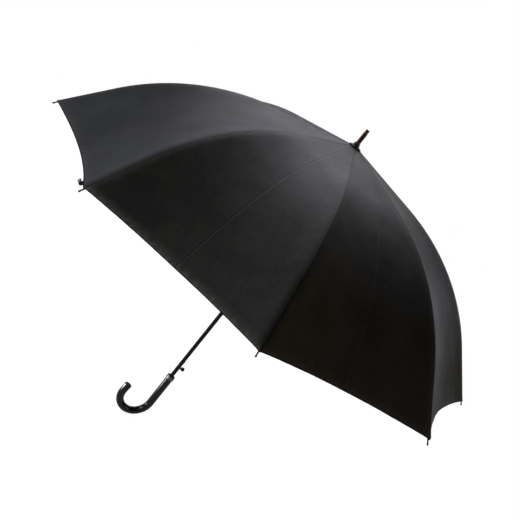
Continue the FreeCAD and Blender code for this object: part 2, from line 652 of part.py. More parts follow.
def make_strap():
    """A fabric strap sewn under the hem, folded back on itself beneath the canopy."""
    rise = math.degrees(math.atan(math.tan(math.radians(HEM_SLOPE)) / cos_deg(HALF_STEP)))
    hem_r, hem_z = edge_point(EDGE_LENGTH)
    hem_u = hem_r * cos_deg(HALF_STEP)
    down = V(cos_deg(rise), 0, -sin_deg(rise))
    under = V(-sin_deg(rise), 0, -cos_deg(rise))
    root = V(hem_u, 0, hem_z) + down * STRAP_ROOT_DROP + under * STRAP_ROOT_DEPTH
    fold = root + down * STRAP_REACH
    radius = STRAP_SPREAD / 2
    thickness = STRAP_THICKNESS
    fold_middle = fold + under * radius + down * radius
    fold_end = fold + under * STRAP_SPREAD
    tail = fold_end - down * STRAP_RETURN
    outer = [
        Part.makeLine(root, fold),
        Part.Arc(fold, fold_middle, fold_end).toShape(),
        Part.makeLine(fold_end, tail),
    ]
    inner_fold = fold + under * thickness
    inner_end = fold_end - under * thickness
    inner_middle = fold_middle - down * thickness
    inner = [
        Part.makeLine(root + under * thickness, inner_fold),
        Part.Arc(inner_fold, inner_middle, inner_end).toShape(),
        Part.makeLine(inner_end, tail - under * thickness),
    ]
    caps = [Part.makeLine(root, root + under * thickness), Part.makeLine(tail, tail - under * thickness)]
    face = Part.Face(Part.Wire(Part.__sortEdges__(outer + inner + caps)))
    hem_half = hem_r * sin_deg(HALF_STEP)
    start = hem_half - STRAP_OFFSET - STRAP_WIDTH
    face.translate(V(0, start, 0))
    band = face.extrude(V(0, STRAP_WIDTH, 0))
    roll_base = root + under * (thickness / 2) + V(0, start, 0)
    roll = Part.makeCylinder(STRAP_ROLL_RADIUS, STRAP_WIDTH, roll_base, V(0, 1, 0))
    snap_centre = fold + down * SNAP_AHEAD + V(0, start + STRAP_WIDTH / 2, 0)
    snap = Part.makeCylinder(SNAP_RADIUS, SNAP_THICKNESS, snap_centre, under * -1)
    panel_bearing = rib_bearing(STRAP_RIB) - HALF_STEP
    export(around(band.fuse(roll), panel_bearing), "strap")
    export(around(snap, panel_bearing), "strap_snap")


os.makedirs("parts", exist_ok=True)
make_ribs()
make_crown()
make_shaft()
make_runner()
make_button()
make_handle()
make_strap()
print("rib edge %.1f, hem height %.1f" % (EDGE_LENGTH, edge_point(EDGE_LENGTH)[1]))
print("open angle %.4f, closed angle %.4f, travel %.4f" % (OPEN_ANGLE, CLOSED_ANGLE, RUNNER_TRAVEL))
print("notch pivot", NOTCH_PIVOT, "rib pivot", RIB_PIVOT)
print("stretcher pivot", STRETCHER_PIVOT, "runner pivot", RUNNER_PIVOT)
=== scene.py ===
import json
import math

import bpy
from mathutils import Matrix, Vector


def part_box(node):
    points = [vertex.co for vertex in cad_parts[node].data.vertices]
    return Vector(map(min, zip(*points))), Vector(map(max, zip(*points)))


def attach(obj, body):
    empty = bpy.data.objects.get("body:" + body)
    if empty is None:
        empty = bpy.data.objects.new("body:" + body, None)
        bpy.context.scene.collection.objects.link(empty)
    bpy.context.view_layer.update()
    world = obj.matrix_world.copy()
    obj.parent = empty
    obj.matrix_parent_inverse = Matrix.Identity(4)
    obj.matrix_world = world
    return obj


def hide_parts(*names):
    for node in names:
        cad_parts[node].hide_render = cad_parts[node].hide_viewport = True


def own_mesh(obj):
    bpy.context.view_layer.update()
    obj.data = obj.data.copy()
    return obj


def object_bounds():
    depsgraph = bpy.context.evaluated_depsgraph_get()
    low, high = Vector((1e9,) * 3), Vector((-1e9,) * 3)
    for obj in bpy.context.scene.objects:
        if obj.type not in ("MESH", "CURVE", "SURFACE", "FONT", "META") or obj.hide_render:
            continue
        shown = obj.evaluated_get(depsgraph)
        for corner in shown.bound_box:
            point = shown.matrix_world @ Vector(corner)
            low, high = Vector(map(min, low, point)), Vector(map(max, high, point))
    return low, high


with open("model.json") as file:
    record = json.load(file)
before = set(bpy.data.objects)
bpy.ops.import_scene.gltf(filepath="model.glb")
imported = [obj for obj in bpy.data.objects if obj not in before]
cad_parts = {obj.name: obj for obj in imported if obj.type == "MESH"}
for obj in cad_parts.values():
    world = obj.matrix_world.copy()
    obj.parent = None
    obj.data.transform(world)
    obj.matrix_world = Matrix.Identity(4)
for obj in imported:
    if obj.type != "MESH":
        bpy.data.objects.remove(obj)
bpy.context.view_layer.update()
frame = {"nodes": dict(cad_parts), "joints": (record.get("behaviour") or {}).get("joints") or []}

# All lengths are in metres, in the frame's own axes: +Z up the shaft, origin at the collar's top.

# ---- canopy, the same curve as the CAD canopy ------------
RIB_COUNT = 8
RIB_STEP = 2 * math.pi / RIB_COUNT
HALF_STEP = RIB_STEP / 2
FIRST_RIB = -HALF_STEP
CANOPY_RADIUS = 0.600
CROWN_HOLE_RADIUS = 0.007
CROWN_SLOPE = math.radians(11.7)
HEM_SLOPE = math.radians(49.0)
CROWN_STRAIGHT = 0.27      # shares of the rib's edge that are straight
HEM_STRAIGHT = 0.20
CROWN_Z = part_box("rosette")[1].z - 0.0014
CROWN_DROP = 0.001
BRACKET_DEPTH = 0.0031     # how far the bracket's pivot is below the rib's edge
CLOTH_THICKNESS = 0.0005
SCALLOP = 0.015            # how far the hem curves in at the middle of a panel

# ---- how the cloth hangs between the ribs ----------------
PANEL_SAG = 0.095          # how far the cloth sinks between two ribs, as a share of half the panel
CROWN_SAG = 0.30           # the share of that sag there is next to the crown
SAG_GROWTH = 0.75          # how soon the rest of the sag comes, going out along the rib
RIB_ROUND = 0.014          # how far from a rib the cloth is rounded over it
ROUND_FADE = 0.05          # a half panel narrower than this is rounded less
DETAIL_FADE = 0.03         # a half panel narrower than this has a lower fold and lower ripples
FOLD_HEIGHT = 0.0006       # storage fold down the middle of each panel
FOLD_WIDTH = 0.006
FOLD_STRENGTHS = (0.35, 0.30, 0.40, 0.30, 0.10, 0.62, 0.22, 0.12)   # one for each panel, from rib 1
HEM_WIDTH = 0.007
HEM_LIFT = 0.00045         # how far the doubled hem stands proud
HEM_STEP = 0.0015          # the width of the slope up to it
HEM_FLARE = 0.0014         # how far the hem turns outwards
HEM_FLARE_LENGTH = 0.010
GATHER_HEIGHT = 0.0005     # small ripples gathered along the hem
GATHER_LENGTH = 0.012
GATHER_REACH = 0.010
GATHER_SHIFT = 0.004       # how far a ripple is moved along the hem, so that they are not all alike
GATHER_SHIFT_RATE = 95.0
PUCKER_HEIGHT = 0.00028    # small ripples beside each rib, where its seam draws the cloth in
PUCKER_LENGTH = 0.016
PUCKER_REACH = 0.012
PUCKER_START = 0.002
PUCKER_SHIFT = 0.8         # how unevenly they are spaced, in radians
PUCKER_SHIFT_RATE = 41.0
PUCKER_PHASES = (1.7, 0.6)      # change from rib to rib, and from one side of a rib to the other
PULL_HEIGHT = 0.0009       # shallow pulls that run up and in from each hem corner
PULL_START = 0.45          # the share of the rib's edge where they begin
PULL_RATES = (5.5, 7.0)    # radians of wave across half a panel, and along the rib's edge
PULL_PLACE = 0.30          # where across the half panel they are highest
PULL_SPREAD = 0.22
PULL_PHASES = (2.3, 1.1)

# ---- how the cloth is divided ----------------------------
# shares of the rib's edge where the cloth is divided, besides the division at the bracket
INNER_DIVISIONS = (0.0, 0.02, 0.04, 0.07, 0.12, 0.20, 0.30)
OUTER_DIVISIONS = (0.60, 0.80, 1.0)
UNDERLAP_STEP = 0.0004     # the cloth inside the brackets runs on under the cloth outside them
UNDERLAP_DEPTH = 0.0009
UNDERLAP_LENGTH = 0.010
TOLERANCE = 1e-6
ALONG_STEP = 0.005
LEAST_ROWS = 4
HEM_CROWDING = 1.5
ACROSS_CELLS = 22
ACROSS_CROWDING = 0.11
SEAM_HALF_WIDTH = 0.0016
SEAM_LIFT = 0.00035
SEAM_EDGE_LIFT = 0.0001
SEAM_SINK = 0.0006
SEAM_START = 0.004
SEAM_WANDER = 0.00015
SEAM_WANDER_LENGTH = 0.021
SEAM_PROFILE = (-1.0, -0.8, -0.45, 0.0, 0.45, 0.8, 1.0)
FAR = 1.0                  # stands for "nowhere near" in the cloth's edge map

# ---- how the cloth looks -------------------------------
# a band gives its start and end, in metres from the hem or from the fold
WEAVE_PITCH = 0.0006
STITCH_PLACE = 0.0055
STITCH_PITCH = 0.0032
STITCH_EDGE = (0.0003, 0.0007)
STITCH_PALER = 2.2
# painted highlight: a pale band along the hem, where the cloth catches the light
HEM_HIGHLIGHT_BAND = (0.003, 0.028)
HEM_HIGHLIGHT_COLOUR = (0.20, 0.196, 0.190)
HEM_EDGE_BAND = (0.0013, 0.0030)
HEM_EDGE_COLOUR = (0.0015, 0.0015, 0.0016)
HEM_BUMP_BAND = (0.006, 0.018)
# painted shade: a thin dark line down the groove of each panel's fold
CREASE_SHADE_BAND = (0.0004, 0.0017)
CREASE_SHADE_COLOUR = (0.0012, 0.0012, 0.0013)
LIT_BAND = (0.0016, 0.0055)
LIT_COLOUR = (0.11, 0.11, 0.112)
TONE_SPAN = (0.36, 0.64)
NOISE_SPAN = (0.3, 0.7)    # where most of a noise's values lie

SOLVE_STEPS = 50
CORNER_STEPS = 4
CORNER_SHARE = 0.45        # the most of a side that a rounded corner takes up


# ---- the canopy's curve ----------------------------------

def hem_reach(length):
    """The hem's radius, for a rib's edge of this length."""
    bend = (1 - CROWN_STRAIGHT - HEM_STRAIGHT) * length
    arc = bend / (HEM_SLOPE - CROWN_SLOPE)
    straight = CROWN_STRAIGHT * length * math.cos(CROWN_SLOPE)
    straight += HEM_STRAIGHT * length * math.cos(HEM_SLOPE)
    return CROWN_HOLE_RADIUS + straight + arc * (math.sin(HEM_SLOPE) - math.sin(CROWN_SLOPE))


def solve(function, low, high):
    """Where the function crosses zero between low and high."""
    start = function(low)
    for _ in range(SOLVE_STEPS):
        middle = (low + high) / 2
        if (function(middle) > 0) == (start > 0):
            low = middle
        else:
            high = middle
    return (low + high) / 2


EDGE_LENGTH = solve(lambda length: hem_reach(length) - CANOPY_RADIUS, low=0.5, high=0.9)
ARC_START = CROWN_STRAIGHT * EDGE_LENGTH
ARC_END = (1 - HEM_STRAIGHT) * EDGE_LENGTH
ARC_RADIUS = (ARC_END - ARC_START) / (HEM_SLOPE - CROWN_SLOPE)
START_Z = CROWN_Z - CROWN_DROP
ARC_R = CROWN_HOLE_RADIUS + ARC_START * math.cos(CROWN_SLOPE) - ARC_RADIUS * math.sin(CROWN_SLOPE)
ARC_Z = START_Z - ARC_START * math.sin(CROWN_SLOPE) - ARC_RADIUS * math.cos(CROWN_SLOPE)


def slope_at(along):
    """How steeply the rib's edge falls, in radians."""
    if along < ARC_START:
        return CROWN_SLOPE
    return min(CROWN_SLOPE + (along - ARC_START) / ARC_RADIUS, HEM_SLOPE)


def edge_point(along, depth=0.0):
    """A point of the rib's edge in the plane of the rib, as (radius, height)."""
    slope = slope_at(along)
    beyond = 0.0
    if along < ARC_START:
        beyond = along - ARC_START
    if along > ARC_END:
        beyond = along - ARC_END
    radius = ARC_R + (ARC_RADIUS - depth) * math.sin(slope) + beyond * math.cos(slope)
    height = ARC_Z + (ARC_RADIUS - depth) * math.cos(slope) - beyond * math.sin(slope)
    return radius, height


# ---- what the joints say ---------------------------------
JOINTS = {joint["name"]: joint for joint in frame["joints"]}


def joint_plane_point(name):
    """A joint's place in the plane of its rib, as (radius, height)."""
    x, y, z = JOINTS[name]["pos_m"]
    return math.hypot(x, y), z


NOTCH_PIVOT = joint_plane_point("rib_hinge_1")
RIB_PIVOT = joint_plane_point("rib_flex_1")
BRACKET_ALONG = solve(
    lambda along: edge_point(along, BRACKET_DEPTH)[0] - RIB_PIVOT[0], low=0.2, high=0.5
)


# ---- mesh helpers ----------------------------------------

def rib_bearing(number):
    return FIRST_RIB + (number - 1) * RIB_STEP


def link(obj):
    bpy.context.scene.collection.objects.link(obj)
    return obj


def finish_mesh(name, vertices, faces, material, maps=None, sharp=35):
    """A smooth-shaded object, with hard edges where it bends by more than sharp degrees.

    maps holds a list of per-vertex UVs for each UV map's name.
    """
    mesh = bpy.data.meshes.new(name)
    mesh.from_pydata(vertices, [], faces)
    mesh.validate()
    mesh.polygons.foreach_set("use_smooth", [True] * len(mesh.polygons))
    for map_name, uvs in (maps or {}).items():
        layer = mesh.uv_layers.new(name=map_name)
        flat = [value for loop in mesh.loops for value in uvs[loop.vertex_index]]
        layer.data.foreach_set("uv", flat)
    mesh.set_sharp_from_angle(angle=math.radians(sharp))
    mesh.materials.append(material)
    mesh.update()
    return link(bpy.data.objects.new(name, mesh))


def sheet(name, top, bottom, material, maps):
    """A closed thin sheet between two grids of points with the same layout."""
    rows = len(top)
    columns = len(top[0])
    vertices = [point for row in top for point in row] + [point for row in bottom for point in row]
    count = rows * columns
    faces = []

    def index(row, column):
        return row * columns + column

    for row in range(rows - 1):
        for column in range(columns - 1):
            quad = [
                index(row, column),
                index(row, column + 1),
                index(row + 1, column + 1),
                index(row + 1, column),
            ]
            faces.append(quad)
            faces.append([count + corner for corner in reversed(quad)])
    border = [index(0, column) for column in range(columns)]
    border += [index(row, columns - 1) for row in range(1, rows)]
    border += [index(rows - 1, column) for column in range(columns - 2, -1, -1)]
    border += [index(row, 0) for row in range(rows - 2, 0, -1)]
    for first, second in zip(border, border[1:] + border[:1]):
        faces.append([second, first, count + first, count + second])
    doubled = {}
    for map_name, grid in maps.items():
        flat = [uv for row in grid for uv in row]
        doubled[map_name] = flat + flat
    return finish_mesh(name, vertices, faces, material, doubled)


def lathe(name, outline, material, segments, centre=Vector((0, 0, 0)), axis=Vector((0, 0, 1)), sharp=35):
    """A solid turned from closed (radius, height) corners about an axis."""
    turn = Vector((0, 0, 1)).rotation_difference(axis).to_matrix()
    vertices = []
    faces = []
    size = len(outline)
    for step in range(segments):
        angle = 2 * math.pi * step / segments
        for radius, height in outline:
            local = Vector((radius * math.cos(angle), radius * math.sin(angle), height))
            vertices.append(centre + turn @ local)
    for step in range(segments):
        following = (step + 1) % segments
        for corner in range(size):
            after = (corner + 1) % size
            faces.append([
                step * size + corner,
                following * size + corner,
                following * size + after,
                step * size + after,
            ])
    return finish_mesh(name, vertices, faces, material, sharp=sharp)


def arc_outline(corners, radius):
    """Rounds the corners of a closed outline."""
    rounded = []
    count = len(corners)
    for place in range(count):
        here = Vector(corners[place])
        before = Vector(corners[place - 1]) - here
        after = Vector(corners[(place + 1) % count]) - here
        reach = min(radius, before.length * CORNER_SHARE, after.length * CORNER_SHARE)
        start = here + before.normalized() * reach
        end = here + after.normalized() * reach
        for step in range(CORNER_STEPS + 1):
            share = step / CORNER_STEPS
            mixed = start * (1 - share) ** 2 + here * 2 * share * (1 - share) + end * share ** 2
            rounded.append((mixed.x, mixed.y))
    return rounded


def sheet_of_lines(name, lines, material):
    """A sheet from rows that hold their points and UVs under "top", "bottom" and each map's name."""
    grids = {key: [line[key] for line in lines] for key in lines[0]}
    return sheet(name, grids.pop("top"), grids.pop("bottom"), material, grids)


def install(piece, body, slot, *nodes):
    """Makes a piece ride on a body and stand for CAD nodes, which are hidden. The slot is not used."""
    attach(piece, body)
    if nodes:
        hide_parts(*nodes)


# ---- materials -------------------------------------------

class Graph:
    """A material's node tree, with short calls for the nodes used here."""

    def __init__(self, name):
        self.material = bpy.data.materials.new(name)
        self.material.use_nodes = True
        self.nodes = self.material.node_tree.nodes
        self.links = self.material.node_tree.links
        self.shader = self.nodes["Principled BSDF"]

    def add(self, kind, **settings):
        node = self.nodes.new(kind)
        for key, value in settings.items():
            setattr(node, key, value)
        return node

    def feed(self, socket, value):
        """Gives a socket a number, a colour or another node's output."""
        if isinstance(value, (int, float)):
            socket.default_value = value
        elif isinstance(value, tuple):
            socket.default_value = (*value, 1.0)
        else:
            self.links.new(value, socket)

    def coordinates(self):
        return self.add("ShaderNodeTexCoord").outputs["Object"]

    def uv_map(self, name):
        return self.add("ShaderNodeUVMap", uv_map=name).outputs["UV"]

    def split(self, vector):
        node = self.add("ShaderNodeSeparateXYZ")
        self.feed(node.inputs["Vector"], vector)
        return node.outputs["X"], node.outputs["Y"]

    def from_axis(self, place):
        """Distance from the shaft's axis."""
        squares = [self.times(part, part) for part in self.split(place)]
        return self.math("SQRT", self.math("ADD", *squares))

    def noise(self, where, scale, detail=3.0, roughness=0.5):
        """Noise of one scale, or of a scale for each axis."""
        if isinstance(scale, tuple):
            stretch = self.add("ShaderNodeMapping")
            stretch.inputs["Scale"].default_value = scale
            self.feed(stretch.inputs["Vector"], where)
            where = stretch.outputs["Vector"]
            scale = 1.0
        node = self.add("ShaderNodeTexNoise")
        self.feed(node.inputs["Vector"], where)
        for name, value in (("Scale", scale), ("Detail", detail), ("Roughness", roughness)):
            self.feed(node.inputs[name], value)
        return node.outputs["Fac"]

    def ramp(self, source, span, values=(0.0, 1.0)):
        """Maps the source's span onto two values, which hold beyond it."""
        node = self.add("ShaderNodeMapRange")
        self.feed(node.inputs["Value"], source)
        for name, value in zip(("From Min", "From Max", "To Min", "To Max"), (*span, *values)):
            self.feed(node.inputs[name], value)
        return node.outputs["Result"]

    def math(self, operation, first, second=0.0):
        node = self.add("ShaderNodeMath", operation=operation)
        self.feed(node.inputs[0], first)
        self.feed(node.inputs[1], second)
        return node.outputs["Value"]

    def times(self, first, second):
        return self.math("MULTIPLY", first, second)

    def mix(self, factor, first, second):
        node = self.add("ShaderNodeMix", data_type="RGBA")
        self.feed(node.inputs["Factor"], factor)
        colours = [socket for socket in node.inputs if socket.type == "RGBA"]
        for socket, value in zip(colours, (first, second)):
            self.feed(socket, value)
        return [socket for socket in node.outputs if socket.type == "RGBA"][0]

    def bump(self, height, distance, strength, onto=None):
        node = self.add("ShaderNodeBump")
        self.feed(node.inputs["Height"], height)
        self.feed(node.inputs["Distance"], distance)
        self.feed(node.inputs["Strength"], strength)
        if onto is not None:
            self.feed(node.inputs["Normal"], onto)
        return node.outputs["Normal"]

    def set(self, **values):
        """Feeds the shader's sockets; an underscore stands for a space in a socket's name."""
        for key, value in values.items():
            self.feed(self.shader.inputs[key.replace("_", " ")], value)


def cloth_material(name, dark, light, sheen, hem_highlight_strength):
    """Close plain weave with mottling and sheen, a stitched hem with a painted highlight along it, and a
    pressed fold down each panel with painted shade in it and a painted highlight beside it.

    The UV map "cloth" is metres across and along the weave. The map "edges" is metres to the nearest
    fold and metres to the hem. The map "fold" holds how strongly the fold was pressed, and 0 on the
    half of the panel where the fold catches the light or 1 on the other half.
    """
    graph = Graph(name)
    where = graph.uv_map("cloth")
    place = graph.coordinates()
    across, along = graph.split(where)
    to_fold, to_hem = graph.split(graph.uv_map("edges"))
    fold_strength, fold_side = graph.split(graph.uv_map("fold"))

    turns = 2 * math.pi / WEAVE_PITCH
    weave = graph.times(*[graph.math("SINE", graph.times(part, turns)) for part in (across, along)])
    streaks = graph.noise(where, (700.0, 60.0, 1.0))
    mottle = graph.noise(place, 9.0, detail=4.0, roughness=0.6)
    fine = graph.noise(place, 150.0, detail=4.0, roughness=0.6)
    tone = graph.math("ADD", graph.times(mottle, 0.5), graph.times(fine, 0.25))
    tone = graph.math("ADD", tone, graph.times(streaks, 0.25))
    colour = graph.mix(graph.ramp(tone, TONE_SPAN), dark, light)

    from_stitches = graph.math("ABSOLUTE", graph.math("SUBTRACT", to_hem, STITCH_PLACE))
    stitch_wave = graph.math("SINE", graph.times(across, 2 * math.pi / STITCH_PITCH))
    stitches = graph.times(
        graph.ramp(from_stitches, STITCH_EDGE, (1.0, 0.0)),
        graph.ramp(stitch_wave, (-0.5, 0.0)),
    )
    colour = graph.mix(stitches, colour, tuple(value * STITCH_PALER for value in light))

    # painted highlight: a pale, patchy band along the hem, stronger on panels with a stronger fold
    hem_highlight = graph.math("POWER", graph.ramp(to_hem, HEM_HIGHLIGHT_BAND, (hem_highlight_strength, 0.0)), 1.8)
    strengths = (min(FOLD_STRENGTHS), max(FOLD_STRENGTHS))
    hem_highlight = graph.times(hem_highlight, graph.ramp(fold_strength, strengths, (0.30, 1.0)))
    patches = graph.noise(where, (120.0, 60.0, 1.0), detail=4.0, roughness=0.65)
    hem_highlight = graph.times(hem_highlight, graph.ramp(patches, (0.38, 0.62), (0.40, 1.0)))
    colour = graph.mix(hem_highlight, colour, HEM_HIGHLIGHT_COLOUR)
    hem_edge = graph.ramp(to_hem, HEM_EDGE_BAND, (1.0, 0.0))
    colour = graph.mix(graph.times(hem_edge, 0.8), colour, HEM_EDGE_COLOUR)

    # painted shade: a thin dark line in the fold's groove, which also takes away the sheen there
    crease_shade = graph.times(graph.ramp(to_fold, CREASE_SHADE_BAND, (1.0, 0.0)), fold_strength)
    lit = graph.times(graph.ramp(to_fold, LIT_BAND, (1.0, 0.0)), fold_strength)
    lit = graph.times(lit, graph.math("SUBTRACT", 1.0, fold_side))
    colour = graph.mix(graph.times(lit, 0.9), colour, LIT_COLOUR)
    colour = graph.mix(crease_shade, colour, CREASE_SHADE_COLOUR)

    threads = graph.math("ADD", graph.times(weave, 0.5), streaks)
    normal = graph.bump(threads, distance=0.00014, strength=0.5)
    normal = graph.bump(graph.noise(place, 26.0), distance=0.0010, strength=0.30, onto=normal)
    gathers = graph.noise(where, (190.0, 40.0, 1.0), detail=2.0)
    gathers = graph.times(gathers, graph.ramp(to_hem, HEM_BUMP_BAND, (1.0, 0.0)))
    normal = graph.bump(gathers, distance=0.0022, strength=0.55, onto=normal)

    bright = graph.math("SUBTRACT", 1.0, graph.math("MAXIMUM", hem_edge, crease_shade))
    bright = graph.times(bright, graph.ramp(tone, TONE_SPAN, (0.62, 1.38)))
    graph.set(
        Base_Color=colour,
        Roughness=graph.ramp(streaks, NOISE_SPAN, (0.44, 0.62)),
        Sheen_Weight=graph.times(bright, sheen),
        Sheen_Roughness=0.32,
        Sheen_Tint=(0.80, 0.84, 0.95),
        Specular_IOR_Level=graph.times(bright, 0.42),
        Normal=normal,
    )
    return graph.material


def lacquer_material():
    """Gloss black lacquer over a moulded crook, with faint ripple, dust-fine scuffs and a clear coat."""
    graph = Graph("gloss_lacquer")
    place = graph.coordinates()
    scuff = graph.noise(place, 900.0, detail=4.0, roughness=0.7)
    wide = graph.noise(place, 35.0)
    ripple = graph.noise(place, 30.0, detail=2.0)
    graph.set(
        Base_Color=graph.mix(wide, (0.0050, 0.0040, 0.0032), (0.0110, 0.0088, 0.0070)),
        Roughness=graph.ramp(scuff, (0.45, 0.75), (0.20, 0.36)),
        Coat_Weight=0.9,
        Coat_Roughness=graph.ramp(wide, NOISE_SPAN, (0.10, 0.20)),
        Normal=graph.bump(ripple, distance=0.0006, strength=0.05),
    )
    return graph.material


def enamel_material():
    """Black stove enamel on a drawn steel tube: fine draw lines along the tube and slight wear."""
    graph = Graph("black_enamel")
    place = graph.coordinates()
    lines = graph.noise(place, (900.0, 900.0, 14.0), detail=2.0)
    wear = graph.ramp(graph.noise(place, 45.0, detail=6.0, roughness=0.75), (0.50, 0.80))
    graph.set(
        Base_Color=graph.mix(wear, (0.007, 0.007, 0.008), (0.020, 0.019, 0.018)),
        Metallic=0.25,
        Roughness=graph.ramp(lines, NOISE_SPAN, (0.24, 0.36)),
        Coat_Weight=0.45,
        Coat_Roughness=0.18,
        Normal=graph.bump(lines, distance=0.00003, strength=0.3),
    )
    return graph.material


def metal_material(name, dark, light, rough, metallic=1.0):
    """Plated or drawn metal with directional brushing, tone variation and brighter spots of wear."""
    graph = Graph(name)
    place = graph.coordinates()
    brushing = graph.noise(place, (60.0, 60.0, 900.0))
    tone = graph.noise(place, 160.0, detail=5.0, roughness=0.7)
    graph.set(
        Base_Color=graph.mix(graph.ramp(tone, (0.35, 0.65)), dark, light),
        Metallic=metallic,
        Roughness=graph.ramp(brushing, NOISE_SPAN, rough),
        Normal=graph.bump(brushing, distance=0.00004, strength=0.6),
    )
    return graph.material


def bronze_material():
    """Brown-black bronze plating, finely brushed round, with a painted reflection: dark face on, coppery
    towards its edges.
    """
    graph = Graph("bronze_plate")
    place = graph.coordinates()
    facing = graph.add("ShaderNodeLayerWeight")
    facing.inputs["Blend"].default_value = 0.40
    tone = graph.noise(place, 220.0, detail=5.0, roughness=0.7)
    # painted reflection: the colour turns coppery where the surface turns away from the view
    edge = graph.ramp(facing.outputs["Facing"], (0.30, 0.70))
    dark = graph.mix(tone, (0.020, 0.013, 0.010), (0.055, 0.036, 0.027))
    bright = graph.mix(tone, (0.42, 0.27, 0.19), (0.66, 0.47, 0.36))
    brushing = graph.noise(place, (50.0, 50.0, 1400.0))
    graph.set(
        Base_Color=graph.mix(edge, dark, bright),
        Metallic=0.55,
        Roughness=graph.ramp(brushing, NOISE_SPAN, (0.24, 0.40)),
        Normal=graph.bump(brushing, distance=0.00005, strength=0.6),
    )
    return graph.material


def plastic_material(name, dark, light, rough):
    """Moulded plastic with a fine spark-eroded grain."""
    graph = Graph(name)
    place = graph.coordinates()
    grain = graph.noise(place, 2600.0, detail=2.0)
    graph.set(
        Base_Color=graph.mix(graph.noise(place, 70.0, detail=4.0), dark, light),
        Roughness=graph.ramp(grain, NOISE_SPAN, (rough - 0.06, rough + 0.08)),
        Specular_IOR_Level=0.45,
        Normal=graph.bump(grain, distance=0.00004, strength=0.5),
    )
    return graph.material


def rib_material():
    """Black-coated rib rod whose exposed end past the hem is a bronze-tinted tip."""
    graph = Graph("rib_rod")
    place = graph.coordinates()
    tip_start = (CANOPY_RADIUS - 0.004, CANOPY_RADIUS - 0.002)
    is_tip = graph.ramp(graph.from_axis(place), tip_start)
    tone = graph.noise(place, 240.0, detail=4.0)
    coated = graph.mix(tone, (0.010, 0.010, 0.010), (0.030, 0.028, 0.026))
    tip = graph.mix(tone, (0.060, 0.038, 0.024), (0.150, 0.095, 0.060))
    graph.set(
        Base_Color=graph.mix(is_tip, coated, tip),
        Metallic=graph.ramp(is_tip, (0.0, 1.0), (0.15, 0.85)),
        Roughness=graph.ramp(tone, NOISE_SPAN, (0.28, 0.42)),
        Normal=graph.bump(tone, distance=0.00005, strength=0.4),
    )
    return graph.material


CANOPY_CLOTH = cloth_material(
    "canopy_pongee", (0.0085, 0.0088, 0.0100), (0.0150, 0.0152, 0.0165), sheen=0.55, hem_highlight_strength=0.9
)
SEAM_CLOTH = cloth_material(
    "seam_pongee", (0.0016, 0.0016, 0.0018), (0.0030, 0.0030, 0.0032), sheen=0.06, hem_highlight_strength=0.0
)
STRAP_CLOTH = cloth_material(
    "strap_pongee", (0.0070, 0.0070, 0.0080), (0.0130, 0.0130, 0.0140), sheen=0.5, hem_highlight_strength=0.0
)
CROWN_CLOTH = plastic_material("crown_round", (0.006, 0.006, 0.007), (0.012, 0.012, 0.013), 0.62)
LACQUER = lacquer_material()
ENAMEL = enamel_material()
PEWTER = metal_material(
    "pewter_plate", (0.20, 0.197, 0.188), (0.40, 0.393, 0.38), (0.32, 0.50), metallic=0.7
)
BRONZE = bronze_material()
BRIGHT = metal_material("bright_nickel", (0.62, 0.62, 0.63), (0.80, 0.80, 0.80), (0.08, 0.20))
WIRE = metal_material("spring_wire", (0.30, 0.30, 0.31), (0.46, 0.46, 0.46), (0.25, 0.40))
BLACK_PLASTIC = plastic_material("moulded_black", (0.010, 0.010, 0.011), (0.022, 0.021, 0.021), 0.38)
BUTTON_PLASTIC = plastic_material("button_black", (0.008, 0.008, 0.008), (0.018, 0.018, 0.018), 0.26)
RIB_ROD = rib_material()


# ---- canopy ----------------------------------------------

def panel_fold(side, number):
    """How strongly the storage fold shows on the panel beside a rib."""
    panel = number if side > 0 else (number - 2) % RIB_COUNT + 1
    return FOLD_STRENGTHS[panel - 1]


def half_chord_at(along):
    """Half the width of the flat panel."""
    return edge_point(along)[0] * math.sin(HALF_STEP)


def panel_directions(along, side):
    """From the rib level to mid-panel, and down the rib's edge."""
    slope = slope_at(along)
    chord = Vector((-math.sin(HALF_STEP), side * math.cos(HALF_STEP), 0))
    down = Vector((math.cos(slope), 0, -math.sin(slope)))
    return chord, down


def rib_bend(slope):
    """Tangent of half the angle between the two flat panels that meet at a rib."""
    cosine = math.sin(slope) ** 2 * math.cos(RIB_STEP) + math.cos(slope) ** 2
    return math.tan(math.acos(cosine) / 2)


def hem_along(across):
    """The cloth's end along the rib's edge: scalloped in towards mid-panel."""
    return EDGE_LENGTH - SCALLOP * across * (2 - across)


def off_lines(across):
    """0 at the rib and at mid-panel, rising quickly to 1 between them."""
    return math.sin(math.pi * across) ** 0.5


def panel_sag(along, across):
    """How far the cloth sinks below the flat panel, rounded over the rib."""
    half_chord = half_chord_at(along)
    grown = math.sin(math.pi * min(0.5, along / EDGE_LENGTH * SAG_GROWTH))
    deepest = PANEL_SAG * half_chord * (CROWN_SAG + (1 - CROWN_SAG) * grown)
    from_rib = across * half_chord
    bend = rib_bend(slope_at(along)) + deepest * math.pi / 2 / half_chord
    rounded = bend * from_rib * math.exp(-from_rib / RIB_ROUND) * min(1.0, half_chord / ROUND_FADE)
    return deepest * math.sin(math.pi * across / 2) - rounded


def fold_and_puckers(along, across, side, number):
    """The height of the storage fold, and of the ripples beside the rib's seam."""
    half_chord = half_chord_at(along)
    from_rib = across * half_chord
    fold = FOLD_HEIGHT * panel_fold(side, number) * math.exp((from_rib - half_chord) / FOLD_WIDTH)
    phase = number * PUCKER_PHASES[0] + side * PUCKER_PHASES[1]
    shift = PUCKER_SHIFT * math.sin(along * PUCKER_SHIFT_RATE + phase)
    pucker = PUCKER_HEIGHT * math.sin(2 * math.pi * along / PUCKER_LENGTH + phase + shift)
    pucker *= math.exp(-from_rib / PUCKER_REACH) * min(1.0, from_rib / PUCKER_START)
    return (fold - pucker) * min(1.0, half_chord / DETAIL_FADE)


